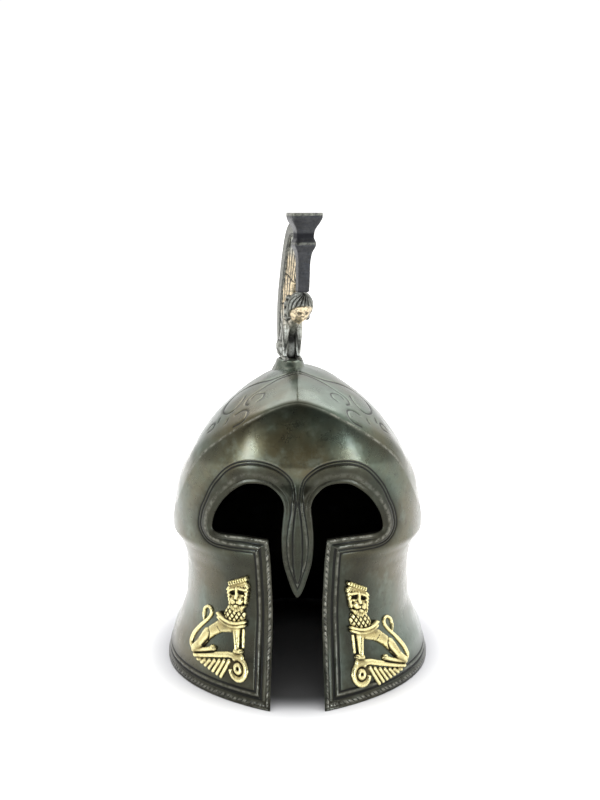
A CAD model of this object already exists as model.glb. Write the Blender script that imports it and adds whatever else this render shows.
# %% [markdown]
# # Corinthian helmet: the looks
#
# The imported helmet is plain: smooth skins, domed blanks for the lions and a few strokes for the crest.
# This script builds the finished surfaces over it. Every new surface is a grid of points worked out with
# numpy, all at once, from two parameters: a turn and a height for the shell, a distance along and across
# for a border, a place on the cheek for a lion. Lengths are millimetres until a mesh is made.

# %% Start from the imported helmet
import math

import bmesh
import bpy
import numpy as np
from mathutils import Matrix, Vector


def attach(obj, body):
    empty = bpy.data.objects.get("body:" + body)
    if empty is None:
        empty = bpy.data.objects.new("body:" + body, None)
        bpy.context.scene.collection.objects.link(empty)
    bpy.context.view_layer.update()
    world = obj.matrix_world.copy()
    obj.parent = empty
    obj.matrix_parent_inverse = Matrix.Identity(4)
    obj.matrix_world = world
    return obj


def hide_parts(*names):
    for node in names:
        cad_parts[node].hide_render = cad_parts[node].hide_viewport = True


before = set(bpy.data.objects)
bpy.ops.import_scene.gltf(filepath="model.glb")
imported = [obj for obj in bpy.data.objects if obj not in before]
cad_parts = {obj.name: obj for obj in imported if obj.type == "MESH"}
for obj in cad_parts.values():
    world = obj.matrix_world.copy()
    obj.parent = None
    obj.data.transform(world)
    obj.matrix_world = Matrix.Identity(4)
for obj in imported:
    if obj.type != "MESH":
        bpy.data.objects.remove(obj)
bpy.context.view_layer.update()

MM = 0.001

# %% [markdown]
# ## Tables and curves
#
# A helmet like this one is drawn by a few sections, so the shell keeps them as short tables. A monotone
# cubic goes through each column: it is smooth, and it never swings past the values it was given, which a
# plain cubic would do at the ledge under the brow ridge.

# %% Tables and curves


def smooth_curve(xs, ys):
    """A function through the points: cubic pieces whose slopes are harmonic means of the chords' slopes."""
    xs, ys = np.asarray(xs, float), np.asarray(ys, float)
    steps = np.diff(xs)
    chords = np.diff(ys) / steps
    total = np.where(chords[:-1] + chords[1:] == 0, 1, chords[:-1] + chords[1:])
    inner = np.where(chords[:-1] * chords[1:] > 0, 2 * chords[:-1] * chords[1:] / total, 0.0)
    slopes = np.concatenate([chords[:1], inner, chords[-1:]])

    def at(x):
        x = np.clip(x, xs[0], xs[-1])
        i = np.clip(np.searchsorted(xs, x, side="right") - 1, 0, len(steps) - 1)
        t = (x - xs[i]) / steps[i]
        rise = (1 + 2 * t) * (1 - t) ** 2 * ys[i] + t**2 * (3 - 2 * t) * ys[i + 1]
        return rise + steps[i] * (t * (1 - t) ** 2 * slopes[i] - t**2 * (1 - t) * slopes[i + 1])

    return at


def table_curves(columns, rows):
    """A smooth curve for each column of a table, over its first column."""
    values = np.array(rows, float)
    return {name: smooth_curve(values[:, 0], values[:, k]) for k, name in enumerate(columns) if k}


def smooth_path(points, steps):
    """Points along a Catmull-Rom curve: each piece is a cubic set by the four points round it."""
    points = np.asarray(points, float)
    padded = np.concatenate([[2 * points[0] - points[1]], points, [2 * points[-1] - points[-2]]])
    a, b, c, d = padded[:-3, None], padded[1:-2, None], padded[2:-1, None], padded[3:, None]
    t = np.linspace(0, 1, steps, endpoint=False)[None, :, None]
    found = 2 * b + (c - a) * t + (2 * a - 5 * b + 4 * c - d) * t**2 + (3 * b - a - 3 * c + d) * t**3
    return np.concatenate([0.5 * found.reshape(-1, points.shape[1]), points[-1:]])


def way_along(points):
    """The distance along a path at each of its points: the running sum of its steps."""
    return np.concatenate([[0], np.cumsum(np.linalg.norm(np.diff(points, axis=0), axis=1))])


def even_path(points, spacing):
    """The same path with its points evenly spaced, and the distance along it at each one."""
    along = way_along(points)
    wanted = np.linspace(0, along[-1], int(round(along[-1] / spacing)) + 1)
    return np.stack([np.interp(wanted, along, column) for column in points.T], 1), wanted


# %% [markdown]
# Five small helpers shape everything else. A ramp and a hump are the two forms that a chasing tool leaves,
# a step and a ridge, and both are smooth so that no edge shows where they start.

# %% Ramps, humps and unit vectors


def held(x):
    """The values held between 0 and 1."""
    return np.clip(x, 0, 1)


def ramp(x, low, high):
    """0 below low, 1 above high and a smooth step between them."""
    t = held((x - low) / (high - low))
    return t * t * (3 - 2 * t)


def hump(x, middle, half):
    """A smooth bump of height 1 at the middle that reaches 0 a half-width away."""
    return (1 - held(np.abs(x - middle) / half) ** 2) ** 2


def unit(vectors):
    """The same directions, one long."""
    return vectors / np.maximum(np.linalg.norm(vectors, axis=-1, keepdims=True), 1e-9)


def signed_power(x, power):
    """The size of x raised to a power, with the sign of x: it makes a circle squarer or more pointed."""
    return np.sign(x) * np.abs(x) ** power


# %% [markdown]
# ## The shell's skin
#
# Below the brow ridge the shell is a tube with a plan at each height. Above it, straight lines in plan
# run from the ridge to the top, and their drop is blended from a side, a front and a back section, so
# that the ridge stays a true edge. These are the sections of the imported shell.

# %% The shell's skin
MIDDLE_DEPTH = 5.75
WALL = 2.5
TUBE_COLUMNS = ("height", "half_width", "widest_at", "front", "back", "x_power", "y_power")
TUBE_ROWS = (
    (-6.0, 59.6, 11.0, 66.8, 75.0, 1.30, 2.4),
    (0.0, 58.8, 11.0, 65.0, 73.0, 1.30, 2.4),
    (12.0, 56.0, 9.0, 61.5, 67.5, 1.35, 2.3),
    (20.0, 52.6, 7.0, 59.0, 64.0, 1.40, 2.2),
    (30.0, 49.7, 4.0, 57.0, 61.8, 1.45, 2.1),
    (45.0, 49.0, 1.0, 55.0, 61.8, 1.55, 2.0),
    (51.0, 49.6, 0.0, 54.5, 63.0, 1.60, 2.0),
    (57.0, 51.9, 0.0, 54.1, 65.5, 1.70, 2.0),
    (62.0, 54.8, 0.0, 53.8, 67.0, 1.75, 2.0),
    (80.0, 54.8, 0.0, 53.0, 67.0, 1.90, 2.0),
    (100.0, 54.8, 0.0, 50.0, 66.0, 2.00, 2.0),
    (126.0, 54.8, 0.0, 46.5, 66.0, 2.00, 2.0),
)
RIDGE_COLUMNS = ("turn", "height")
RIDGE_ROWS = (
    (0.0, 123.6),
    (4.0, 122.9),
    (10.0, 120.9),
    (18.0, 117.0),
    (26.0, 112.5),
    (45.0, 100.2),
    (58.0, 88.5),
    (68.0, 78.5),
    (78.0, 70.0),
    (90.0, 64.5),
    (110.0, 62.5),
    (140.0, 62.0),
    (180.0, 62.0),
)
CROWN_TOP = 132.0
CROWN_COLUMNS = ("way_out", "side_drop", "front_drop", "back_drop")
CROWN_ROWS = (
    (0.0, 0.000, 0.000, 0.000),
    (0.2, 0.042, 0.080, 0.020),
    (0.4, 0.136, 0.220, 0.090),
    (0.6, 0.270, 0.420, 0.215),
    (0.75, 0.424, 0.610, 0.365),
    (0.87, 0.596, 0.790, 0.560),
    (0.95, 0.755, 0.920, 0.760),
    (1.0, 1.000, 1.000, 1.000),
)
KEEL_POWER = 1.3
TUBE = table_curves(TUBE_COLUMNS, TUBE_ROWS)
RIDGE = table_curves(RIDGE_COLUMNS, RIDGE_ROWS)
CROWN = table_curves(CROWN_COLUMNS, CROWN_ROWS)


def tube_point(turn, height):
    """The tube: a superellipse in plan at each height, with its own depth to the front and the back."""
    angle = np.radians(np.abs(turn))
    sine, cosine = np.sin(angle), np.cos(angle)
    front = angle <= math.pi / 2
    x_power = np.where(front, TUBE["x_power"](height), 2.0)
    y_power = np.where(front, TUBE["y_power"](height), 2.0)
    x = TUBE["half_width"](height) * np.abs(sine) ** (2 / x_power)
    middle = TUBE["widest_at"](height)
    forward = (TUBE["front"](height) + middle) * np.abs(cosine) ** (2 / y_power)
    backward = (TUBE["back"](height) - middle) * np.abs(cosine)
    y = middle + np.where(front, -forward, backward) - MIDDLE_DEPTH
    return np.stack(np.broadcast_arrays(np.sign(turn) * x, y, height), -1)


def crown_point(turn, way_out):
    """The crown: way_out times the ridge's place in plan, dropping by blended sections."""
    ridge_height = RIDGE["height"](np.abs(turn))
    ridge = tube_point(turn, ridge_height) + (0, MIDDLE_DEPTH, 0)
    sideways = np.abs(np.sin(np.radians(turn))) ** KEEL_POWER
    ahead = np.where(np.abs(turn) <= 90, CROWN["front_drop"](way_out), CROWN["back_drop"](way_out))
    drop = sideways * CROWN["side_drop"](way_out) + (1 - sideways) * ahead
    x, y = way_out * ridge[..., 0], way_out * ridge[..., 1] - MIDDLE_DEPTH
    return np.stack(np.broadcast_arrays(x, y, CROWN_TOP - (CROWN_TOP - ridge_height) * drop), -1)


def grid_normals(points):
    """Unit normals of a grid of points: the cross product of its two central differences."""
    return unit(np.cross(np.gradient(points, axis=1), np.gradient(points, axis=0)))


def cheek_skin(across, height):
    """The depth y of the tube's front at a width and height seen from the front."""
    middle = TUBE["widest_at"](height)
    share = (np.abs(across) / TUBE["half_width"](height)) ** TUBE["x_power"](height)
    inside = np.clip(1 - share, 1e-6, 1) ** (1 / TUBE["y_power"](height))
    return middle - (TUBE["front"](height) + middle) * inside - MIDDLE_DEPTH


def on_face(across, height):
    """Points on the face's outer skin above a place seen from the front, and the skin's normals there."""
    small = 0.05
    slope_x = (cheek_skin(across + small, height) - cheek_skin(across - small, height)) / (2 * small)
    slope_z = (cheek_skin(across, height + small) - cheek_skin(across, height - small)) / (2 * small)
    normals = unit(np.stack([slope_x, -np.ones_like(slope_x), slope_z], -1))
    return np.stack([across, cheek_skin(across, height), height], -1), normals


# %% [markdown]
# ## Finishes
#
# Four finishes cover the helmet, and all are metal. What makes old bronze is where it is dark and where
# it is bright: dirt stays in the grooves, and hands polish the ridges. The surfaces therefore carry numbers
# at each point, and the finishes mix their colours by them: groove, worn, dim for dirt that was never
# rubbed off, inside, and gold for gilding. Clouds of noise at three sizes break up the rest: blotches,
# patches and speckles. A small class keeps each formula short, and the room's light uses it as well.

# %% Nodes


class Nodes:
    """The node tree of a material or a world. Each method adds a node and gives back what comes out."""

    def __init__(self, owner):
        owner.use_nodes = True
        self.owner, self.tree = owner, owner.node_tree

    def fill(self, node, **values):
        """Puts numbers, colours or other nodes' outputs into a node's sockets, by name."""
        for name, value in values.items():
            self.put(value, node.inputs[name.replace("_", " ")])
        return node

    def put(self, value, socket):
        """Another node's output is joined to the socket; a number or a colour is set on it."""
        if isinstance(value, bpy.types.NodeSocket):
            self.tree.links.new(value, socket)
        else:
            socket.default_value = (*value, 1.0) if isinstance(value, tuple) else value

    def add(self, kind, **values):
        """A new node with some of its sockets filled."""
        return self.fill(self.tree.nodes.new("ShaderNode" + kind), **values)

    def finished(self, kind, **values):
        """Fills the shader that came with the tree, and gives back the tree's owner."""
        self.fill(next(part for part in self.tree.nodes if part.type == kind), **values)
        return self.owner

    def attribute(self, name):
        """The number that a piece carries under this name."""
        new = self.add("Attribute")
        new.attribute_name = name
        return new.outputs["Fac"]

    def clouds(self, scale, detail=4.0, roughness=0.55):
        """Noise over the piece's own coordinates, in metres."""
        place = self.add("TexCoord").outputs["Object"]
        noise = self.add("TexNoise", Vector=place, Scale=scale, Detail=detail, Roughness=roughness)
        return noise.outputs["Fac"]

    def spread(self, value, low, high, to_low=0.0, to_high=1.0):
        """The value stretched from one range to another and held there, with a smooth step between."""
        new = self.add("MapRange", Value=value, From_Min=low, From_Max=high, To_Min=to_low, To_Max=to_high)
        new.interpolation_type = "SMOOTHSTEP"
        return new.outputs["Result"]

    def combined(self, operation, first, second):
        """Two values, or a value and a number, put together by one of the Math node's operations."""
        new = self.add("Math")
        new.operation = operation
        self.put(first, new.inputs[0])
        self.put(second, new.inputs[1])
        return new.outputs["Value"]

    def plus(self, first, second):
        """The sum of two values."""
        return self.combined("ADD", first, second)

    def times(self, first, second):
        """The product of two values."""
        return self.combined("MULTIPLY", first, second)

    def blend(self, share, first, second):
        """The first colour turning into the second as the share goes from 0 to 1."""
        new = self.add("Mix")
        new.data_type = "RGBA"
        self.put(share, new.inputs["Factor"])
        self.put(first, new.inputs[6])
        self.put(second, new.inputs[7])
        return new.outputs[2]

    def bumped(self, height, distance, strength):
        """A normal for the shader from a height in 0 to 1 and the real size of that range in metres."""
        return self.add("Bump", Height=height, Distance=distance, Strength=strength).outputs["Normal"]


# %% [markdown]
# ### Patinated bronze
#
# The shell's patina is an olive green over brown bronze. Blotches a few centimetres wide carry it from
# one colour to the other, patches of a centimetre turn it pale, and speckles of two millimetres darken
# it. Each layer is blended over the last by its own share. The grooves are filled with black, the ridges
# rubbed to a pale grey gold, and the inside was never polished at all. On the clean places old wax adds
# a soft second gloss.

# %% Patinated bronze
BRONZE_BROWN = (0.081, 0.070, 0.034)
BRONZE_GREEN = (0.076, 0.102, 0.076)
BRONZE_PALE = (0.180, 0.218, 0.180)
BRONZE_DARK = (0.017, 0.0165, 0.010)
BRONZE_WORN = (0.340, 0.335, 0.280)
BLACK_DIRT = (0.008, 0.008, 0.006)


def patinated_bronze():
    """Brown turning green by blotches; then pale patches, dark speckles, dirt, wear and filled grooves."""
    nodes = Nodes(bpy.data.materials.new("patinated_bronze"))
    blotches = nodes.clouds(26.0)
    patches = nodes.clouds(95.0, 5.0, 0.62)
    speckles = nodes.clouds(430.0, 2.5, 0.6)
    dim, inside = nodes.attribute("dim"), nodes.attribute("inside")
    worn = nodes.times(nodes.attribute("worn"), nodes.spread(speckles, 0.40, 0.60, 0.18, 1.0))
    groove = nodes.spread(nodes.attribute("groove"), 0.1, 0.7, 0.0, 0.95)
    colour = nodes.blend(nodes.spread(blotches, 0.36, 0.66), BRONZE_BROWN, BRONZE_GREEN)
    for share, layer in (
        (nodes.spread(patches, 0.5, 0.78, 0.0, 0.55), BRONZE_PALE),
        (nodes.spread(speckles, 0.50, 0.80, 0.0, 0.4), BRONZE_DARK),
        (nodes.times(dim, nodes.spread(patches, 0.3, 0.7, 0.95, 0.75)), BRONZE_DARK),
        (nodes.times(worn, 0.6), BRONZE_WORN),
        (groove, BLACK_DIRT),
        (inside, BLACK_DIRT),
    ):
        colour = nodes.blend(share, colour, layer)
    rough = nodes.plus(nodes.spread(patches, 0.35, 0.75, 0.26, 0.40), nodes.times(groove, 0.3))
    pits = nodes.plus(patches, nodes.times(speckles, 0.12))
    return nodes.finished(
        "BSDF_PRINCIPLED",
        Base_Color=colour,
        Metallic=0.82,
        Roughness=nodes.plus(rough, nodes.times(inside, 0.4)),
        Normal=nodes.bumped(pits, 0.0004, 0.3),
        Coat_Weight=nodes.spread(dim, 0.0, 1.0, 0.32, 0.10),
        Coat_Roughness=0.18,
    )


# %% [markdown]
# ### Worn brass, gilt bronze and dark bronze
#
# The lions are brass, rubbed nearly white gold on every high place, with brown lacquer left in the
# recesses. The crest's figure is dark bronze with gilding that holds only where it stands proud. The
# rail and the post are a blue-black bronze with pale rubbed edges. One function makes all three, because
# they differ only in their colours, and in how evenly the rubbing took: 0 is speckled, 1 is smooth.

# %% Worn brass, gilt bronze and dark bronze


def rubbed_metal(name, metallic, pale, gold, middle, dark, roughness, evenness=0.25):
    """Pale or gold where worn, dark in the grooves, and a middle colour with speckles elsewhere."""
    nodes = Nodes(bpy.data.materials.new(name))
    patches = nodes.clouds(180.0)
    speckles = nodes.clouds(800.0, 4.0, 0.7)
    bright = nodes.blend(nodes.attribute("gold"), pale, gold)
    worn = nodes.times(nodes.attribute("worn"), nodes.spread(speckles, 0.38, 0.58, evenness, 1.0))
    groove = nodes.spread(nodes.attribute("groove"), 0.05, 0.8, 0.0, 0.95)
    colour = nodes.blend(nodes.spread(patches, 0.35, 0.7, 0.0, 0.6), middle, dark)
    colour = nodes.blend(groove, nodes.blend(worn, colour, bright), dark)
    rough = nodes.spread(speckles, 0.3, 0.7, roughness - 0.05, roughness + 0.1)
    bumps = nodes.plus(speckles, nodes.times(patches, 1.5))
    return nodes.finished(
        "BSDF_PRINCIPLED",
        Base_Color=colour,
        Metallic=metallic,
        Roughness=nodes.plus(rough, nodes.times(groove, 0.3)),
        Normal=nodes.bumped(bumps, 0.0005, 0.5 - 0.4 * evenness),
    )


LION_GOLD = (0.88, 0.79, 0.41)
GILT_PALE, GILT_GOLD = (0.52, 0.53, 0.48), (0.82, 0.67, 0.44)
RAIL_PALE = (0.33, 0.33, 0.27)
RUBBED_METALS = {
    "worn_brass": (0.90, LION_GOLD, LION_GOLD, (0.36, 0.29, 0.12), (0.016, 0.013, 0.009), 0.26, 0.8),
    "gilt_bronze": (0.85, GILT_PALE, GILT_GOLD, (0.11, 0.11, 0.09), (0.018, 0.018, 0.016), 0.36),
    "dark_bronze": (0.80, RAIL_PALE, RAIL_PALE, (0.032, 0.033, 0.038), (0.014, 0.014, 0.017), 0.36),
}
FINISHES = {name: rubbed_metal(name, *values) for name, values in RUBBED_METALS.items()}
FINISHES["patinated_bronze"] = patinated_bronze()
print("finishes:", ", ".join(FINISHES))

# %% [markdown]
# ## Making meshes
#
# One function turns a grid of points into a mesh in a single call: the faces are index arithmetic on the
# grid, so a hundred thousand of them cost a few milliseconds. Cells can be left out, which is how a skin
# gets its openings, and attributes can ride along, which is how the finish knows where a groove is.


def grid_faces(rows, columns, closed=False):
    """The corner numbers of every cell of a grid, going round once more to the start if it is closed."""
    i, j = np.meshgrid(np.arange(rows - 1), np.arange(columns if closed else columns - 1), indexing="ij")
    k = (j + 1) % columns
    return np.stack([i * columns + j, i * columns + k, (i + 1) * columns + k, (i + 1) * columns + j], -1)


def mesh_piece(name, points, faces, finish, node, attributes=None, flip=False):
    """A piece of the helmet: points in millimetres, four-cornered faces, and the node it stands for."""
    points = np.asarray(points, float).reshape(-1, 3)
    faces = np.asarray(faces).reshape(-1, 4)
    if flip:
        faces = faces[:, ::-1]
    used, faces = np.unique(faces, return_inverse=True)
    faces = faces.reshape(-1, 4)
    mesh = bpy.data.meshes.new(name)
    mesh.vertices.add(len(used))
    mesh.vertices.foreach_set("co", (points[used] * MM).astype(np.float32).ravel())
    mesh.loops.add(faces.size)
    mesh.loops.foreach_set("vertex_index", faces.astype(np.int32).ravel())
    mesh.polygons.add(len(faces))
    mesh.polygons.foreach_set("loop_start", np.arange(0, faces.size, 4, dtype=np.int32))
    mesh.polygons.foreach_set("loop_total", np.full(len(faces), 4, np.int32))
    mesh.update(calc_edges=True)
    mesh.validate()
    mesh.shade_smooth()
    for key, values in (attributes or {}).items():
        layer = mesh.attributes.new(key, "FLOAT", "POINT")
        layer.data.foreach_set("value", np.asarray(values, np.float32).ravel()[used])
    piece = bpy.data.objects.new(name, mesh)
    bpy.context.scene.collection.objects.link(piece)
    mesh.materials.append(FINISHES[finish])
    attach(piece, "root")
    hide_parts(node)
    print(f"{name}: {2 * len(faces)} triangles")
    return piece


def shell_piece(name, points, faces, flip=False, **numbers):
    """A piece of the shell, with the numbers that its patina reads."""
    return mesh_piece(name, points, faces, "patinated_bronze", "helmet_shell", numbers, flip)


# %% [markdown]
# ## The opening's edge and its borders
#
# One line runs round the whole opening: up the edge of the cheekpiece, along the lower lid, round the eye
# and down the nasal to its tip. On the real helmet a chased border follows that line everywhere, so the
# border is written as a profile over the distance from the line. Its grooves and ridges slide in and out
# as they go: close together beside the eye, wide apart over it. A table of stations along the line holds
# them. The rim at the bottom counts as part of the line, and so the borders meet in a mitre by themselves.

# %% The opening's line
GAP_EDGE = ((0.0, 11.0), (20.0, 10.4), (38.0, 9.9), (52.0, 10.4), (60.0, 10.8), (68.5, 11.7))
LID = ((11.7, 68.5), (20.0, 68.9), (28.0, 68.6), (33.2, 68.4))
EYE_SIDE = ((33.2, 68.4), (34.9, 69.5), (35.2, 71.8), (33.6, 77.3), (29.4, 83.9))
EYE_TOP = ((29.4, 83.9), (23.2, 89.1), (18.2, 90.7), (11.8, 90.1), (7.2, 86.4), (5.5, 82.0))
NASAL = ((5.5, 82.0), (6.0, 76.0), (6.5, 68.5), (5.9, 59.8), (3.8, 52.4), (1.9, 47.5), (0.0, 45.0))
CORNER = LID[0]
STATIONS = (CORNER, LID[-1], EYE_TOP[0], EYE_TOP[2], EYE_TOP[-1])
LINE_STEP = 0.3
gap_half = smooth_curve(*np.array(GAP_EDGE).T)


def edge_line():
    """The line in the front view, and a station that goes from 0 at the rim to 6 at the nasal's tip."""
    gap = smooth_path(np.array(GAP_EDGE)[:, ::-1], 8)
    eye, _ = even_path(smooth_path(LID[:-1] + EYE_SIDE[:-1] + EYE_TOP[:-1] + NASAL, 12), 0.1)
    line, along = even_path(np.concatenate([gap[:-1], eye]), LINE_STEP)

    def place(point):
        return along[np.argmin(np.hypot(*(line - point).T))]

    marks = [0, *(place(point) for point in STATIONS), along[-1]]
    return line, along, np.interp(along, marks, range(len(marks)))


LINE, LINE_ALONG, LINE_STATION = edge_line()
print(f"the line round half of the opening is {LINE_ALONG[-1]:.0f} mm long, in {len(LINE)} points")

# %% [markdown]
# Everything near the opening asks two things of a place: how far it is from the line, and which station
# is nearest. The nearest point is found first, from the squares of all the distances at once; then the
# place is dropped onto the short chord through that point's neighbours, which is smooth along the line.

# %% Distances from the line


def nearest_point(places, points, chunk=20000):
    """The number of the point nearest to each place, for some thousands of places at a time."""
    nearest = np.empty(len(places), int)
    for start in range(0, len(places), chunk):
        part = places[start : start + chunk]
        square = (part**2).sum(1)[:, None] + (points**2).sum(1)[None] - 2 * part @ points.T
        nearest[start : start + chunk] = square.argmin(1)
    return nearest


def nearest_on_line(across, height):
    """For places in the front view: the distance to the line, and the station there."""
    places = np.stack([np.ravel(across), np.ravel(height)], 1)
    nearest = nearest_point(places, LINE)
    before, after = LINE[np.maximum(nearest - 1, 0)], LINE[np.minimum(nearest + 1, len(LINE) - 1)]
    chord = after - before
    way = held(((places - before) * chord).sum(1) / (chord**2).sum(1))
    straight = np.hypot(*(places - before - way[:, None] * chord).T)
    far = np.minimum(straight, np.hypot(*(places - LINE[nearest]).T))
    return far.reshape(np.shape(across)), LINE_STATION[nearest].reshape(np.shape(across))


def inside_outline(across, height, outline):
    """Whether places lie in a closed outline: a level line from them crosses it an odd number of times."""
    inside = np.zeros(np.shape(across), bool)
    for (x1, z1), (x2, z2) in zip(outline, np.roll(outline, -1, 0)):
        if z1 != z2:
            crosses = (z1 > height) != (z2 > height)
            inside ^= crosses & (across < x1 + (height - z1) / (z2 - z1) * (x2 - x1))
    return inside


def in_opening(across, height):
    """Whether places of the right half lie in the opening, which is left open below the rim."""
    below = (0, -20), (GAP_EDGE[0][1], -20)
    return inside_outline(across, height, np.concatenate([below, LINE[::3], LINE[-1:]]))


# %% [markdown]
# The border's table. Each row is a station: the edge of the cheekpiece, the lower lid, the outer corner,
# the brow, the top of the eye, the inner corner and the nasal's tip. A groove or a ridge has a place, in
# millimetres from the edge, a half-width and a height. The curves between the rows are smooth.

# %% The border's profile
BORDER_LINES = ("inner", "near", "far", "ridge")
BORDER_COLUMNS = ("station", *(f"{line}_{part}" for line in BORDER_LINES for part in ("at", "half", "size")))
BORDER_ROWS = (
    (0.0, 4.0, 0.75, 0.42, 6.3, 0.55, 0.34, 7.6, 0.50, 0.00, 5.3, 0.65, 0.20),
    (0.96, 4.0, 0.75, 0.42, 6.3, 0.55, 0.34, 7.6, 0.50, 0.00, 5.3, 0.65, 0.20),
    (1.06, 2.2, 0.85, 0.34, 5.3, 0.55, 0.22, 6.7, 0.45, 0.16, 3.9, 0.75, 0.26),
    (1.75, 2.2, 0.80, 0.24, 5.0, 0.50, 0.28, 6.2, 0.50, 0.26, 3.7, 0.75, 0.22),
    (2.1, 1.4, 0.70, 0.00, 4.7, 0.48, 0.30, 5.8, 0.48, 0.30, 2.7, 1.10, 0.20),
    (2.6, 1.4, 0.70, 0.00, 4.8, 0.48, 0.30, 5.9, 0.48, 0.30, 2.7, 1.10, 0.16),
    (3.1, 1.4, 0.70, 0.00, 6.4, 0.48, 0.30, 7.5, 0.48, 0.30, 3.0, 1.30, 0.10),
    (4.0, 1.4, 0.70, 0.00, 8.0, 0.48, 0.30, 9.1, 0.48, 0.30, 3.4, 1.40, 0.06),
    (4.6, 1.4, 0.70, 0.00, 7.0, 0.48, 0.30, 8.1, 0.48, 0.30, 3.4, 1.40, 0.04),
    (5.0, 1.4, 0.70, 0.00, 3.0, 0.42, 0.28, 4.6, 0.42, 0.28, 3.8, 0.40, 0.12),
    (5.5, 1.4, 0.70, 0.00, 2.1, 0.40, 0.26, 4.6, 0.42, 0.06, 2.7, 0.42, 0.16),
    (6.0, 1.4, 0.70, 0.00, 2.5, 0.40, 0.26, 4.6, 0.42, 0.00, 3.1, 0.42, 0.18),
)
BORDER = table_curves(BORDER_COLUMNS, BORDER_ROWS)
NASAL_LEAF = smooth_curve(
    (51.0, 53.5, 58.0, 64.0, 70.0, 76.0, 81.0, 85.0), (0.0, 1.0, 1.7, 2.0, 1.9, 1.5, 0.9, 0.0)
)


def border_height(far, station):
    """Three grooves and a ridge: each is a smooth hump over the distance from the edge."""
    value = {name: curve(station) for name, curve in BORDER.items()}
    inner, near, outer, ridge = (
        value[line + "_size"] * hump(far, value[line + "_at"], value[line + "_half"]) for line in BORDER_LINES
    )
    return ridge - inner - near - outer


def nasal_height(across, height):
    """The leaf chased into the nasal: a fine groove round it, and a low swelling inside."""
    half = NASAL_LEAF(height)
    inside = held(1 - (across / np.maximum(half, 0.05)) ** 2) * (half > 0.05)
    groove = 0.30 * hump(np.abs(across), half, 0.50) * (half > 0.05)
    return 0.25 * inside - groove


print("3 to 7 mm from the cheek's edge the border is", border_height(np.arange(3.0, 8.0), 0.5).round(2))

# %% [markdown]
# ## The brow ridge
#
# The tube and the crown meet in a real edge, but a cast and filed edge is never sharp: it is a narrow
# round, and it wears bright. Both skins are drawn in along the line halfway between their two directions,
# by a parabola over the last two millimetres. The parabola's slope at the edge turns each skin by half of
# the angle between them, so that they meet smoothly.

# %% The brow ridge
BROW_WIDTH = 2.0


def brow_table():
    """At each turn: the direction halfway between the two skins' normals, and how far to draw the edge in."""
    turns = np.linspace(-180, 180, 1441)
    small, in_one, in_two = 0.02, 0.99 + 0 * turns, 0.985 + 0 * turns
    at_ridge = RIDGE["height"](np.abs(turns))
    round_tube = tube_point(turns + small, at_ridge) - tube_point(turns - small, at_ridge)
    up_tube = tube_point(turns, at_ridge) - tube_point(turns, at_ridge - small)
    round_crown = crown_point(turns + small, in_one) - crown_point(turns - small, in_one)
    up_crown = crown_point(turns, in_two) - crown_point(turns, in_one)
    tube, crown = unit(np.cross(round_tube, up_tube)), unit(np.cross(round_crown, up_crown))
    angle = np.arccos(np.clip((tube * crown).sum(1), -1, 1)) * np.sign(crown[:, 2] - tube[:, 2])
    return turns, unit(tube + crown), BROW_WIDTH * np.tan(np.clip(angle, 0, 1.2) / 2) / 2


BROW_TURNS, BROW_WAY, BROW_DEEP = brow_table()
print(f"the angle across the brow ridge draws the edge in by up to {BROW_DEEP.max():.2f} mm")


def drawn_in(turn, from_edge):
    """The move of a point a distance from the brow ridge: a parabola along the halfway direction."""
    deep = np.interp(turn, BROW_TURNS, BROW_DEEP) * held(1 - from_edge / BROW_WIDTH) ** 2
    way = np.stack([np.interp(turn, BROW_TURNS, BROW_WAY[:, k]) for k in range(3)], -1)
    return -deep[..., None] * way


# %% [markdown]
# ## Hammered and cast unevenness
#
# A casting of this size is not a lathe's work. A few slow waves, less than two tenths of a millimetre
# high, let the reflections wander as they do on the real surface. They are sums of sines of the place.

# %% Slow waves


def uneven(points):
    """A sum of sines over the place of each point, with waves from 12 to 40 mm long."""
    x, y, z = np.moveaxis(points, -1, 0)
    long = np.sin(0.19 * x + 0.11 * z + 1.3) * np.sin(0.13 * y - 0.17 * z + 0.4)
    short = np.sin(0.43 * x - 0.31 * y + 2.1) * np.sin(0.37 * z + 0.21 * x + 0.9)
    return 0.10 * long + 0.05 * short


# %% [markdown]
# ## The face
#
# Half of the face is one grid. Its columns follow the cheekpiece's edge, and its rows are level at the
# rim and at the lower lid and end on the brow ridge, so the borders run along the grid and stay crisp.
# Cells that lie in the opening are left out; a lip covers the stepped edge that this leaves. The other
# half is its mirror image.

# %% The face's grid
FINE = 0.34
STRAIGHT_WIDTH = 45.0
SIDE_COLUMNS = 62
FACE_END = 100.0
RIM_ROWS = np.arange(2.4, 8.4, 0.3)
RIM_TOP = 8.4


def turn_of(across, height):
    """The turn at which the tube has this half-width at this height."""
    share = held(across / TUBE["half_width"](height))
    return np.degrees(np.arcsin(share ** (TUBE["x_power"](height) / 2)))


def column_turn(column, height):
    """The first 45 mm keep their distance from the middle and lean with the gap; the rest share the side."""
    lean = (gap_half(height) - GAP_EDGE[0][1]) * ramp(height, 76.0, CORNER[1])
    straight = turn_of(column + lean * ramp(column, 0, 8) * ramp(column, STRAIGHT_WIDTH, 25), height)
    last = turn_of(STRAIGHT_WIDTH, height)
    shared = last + held(column - STRAIGHT_WIDTH) * (FACE_END - last)
    return np.where(column <= STRAIGHT_WIDTH, straight, shared)


def row_heights(turn, ridge):
    """Level rows over the rim, then even rows to a middle height, then even rows to the ridge."""
    middle = 62 + ((RIM_TOP + ridge) / 2 - 62) * ramp(turn, 50, 88)
    low = RIM_TOP + (middle - RIM_TOP) * np.linspace(0, 1, 156, endpoint=False)[:, None]
    high = middle + (ridge - middle) * np.linspace(0, 1, 176)[:, None]
    return np.concatenate([np.broadcast_to(RIM_ROWS[:, None], (len(RIM_ROWS), len(turn))), low, high])


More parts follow.
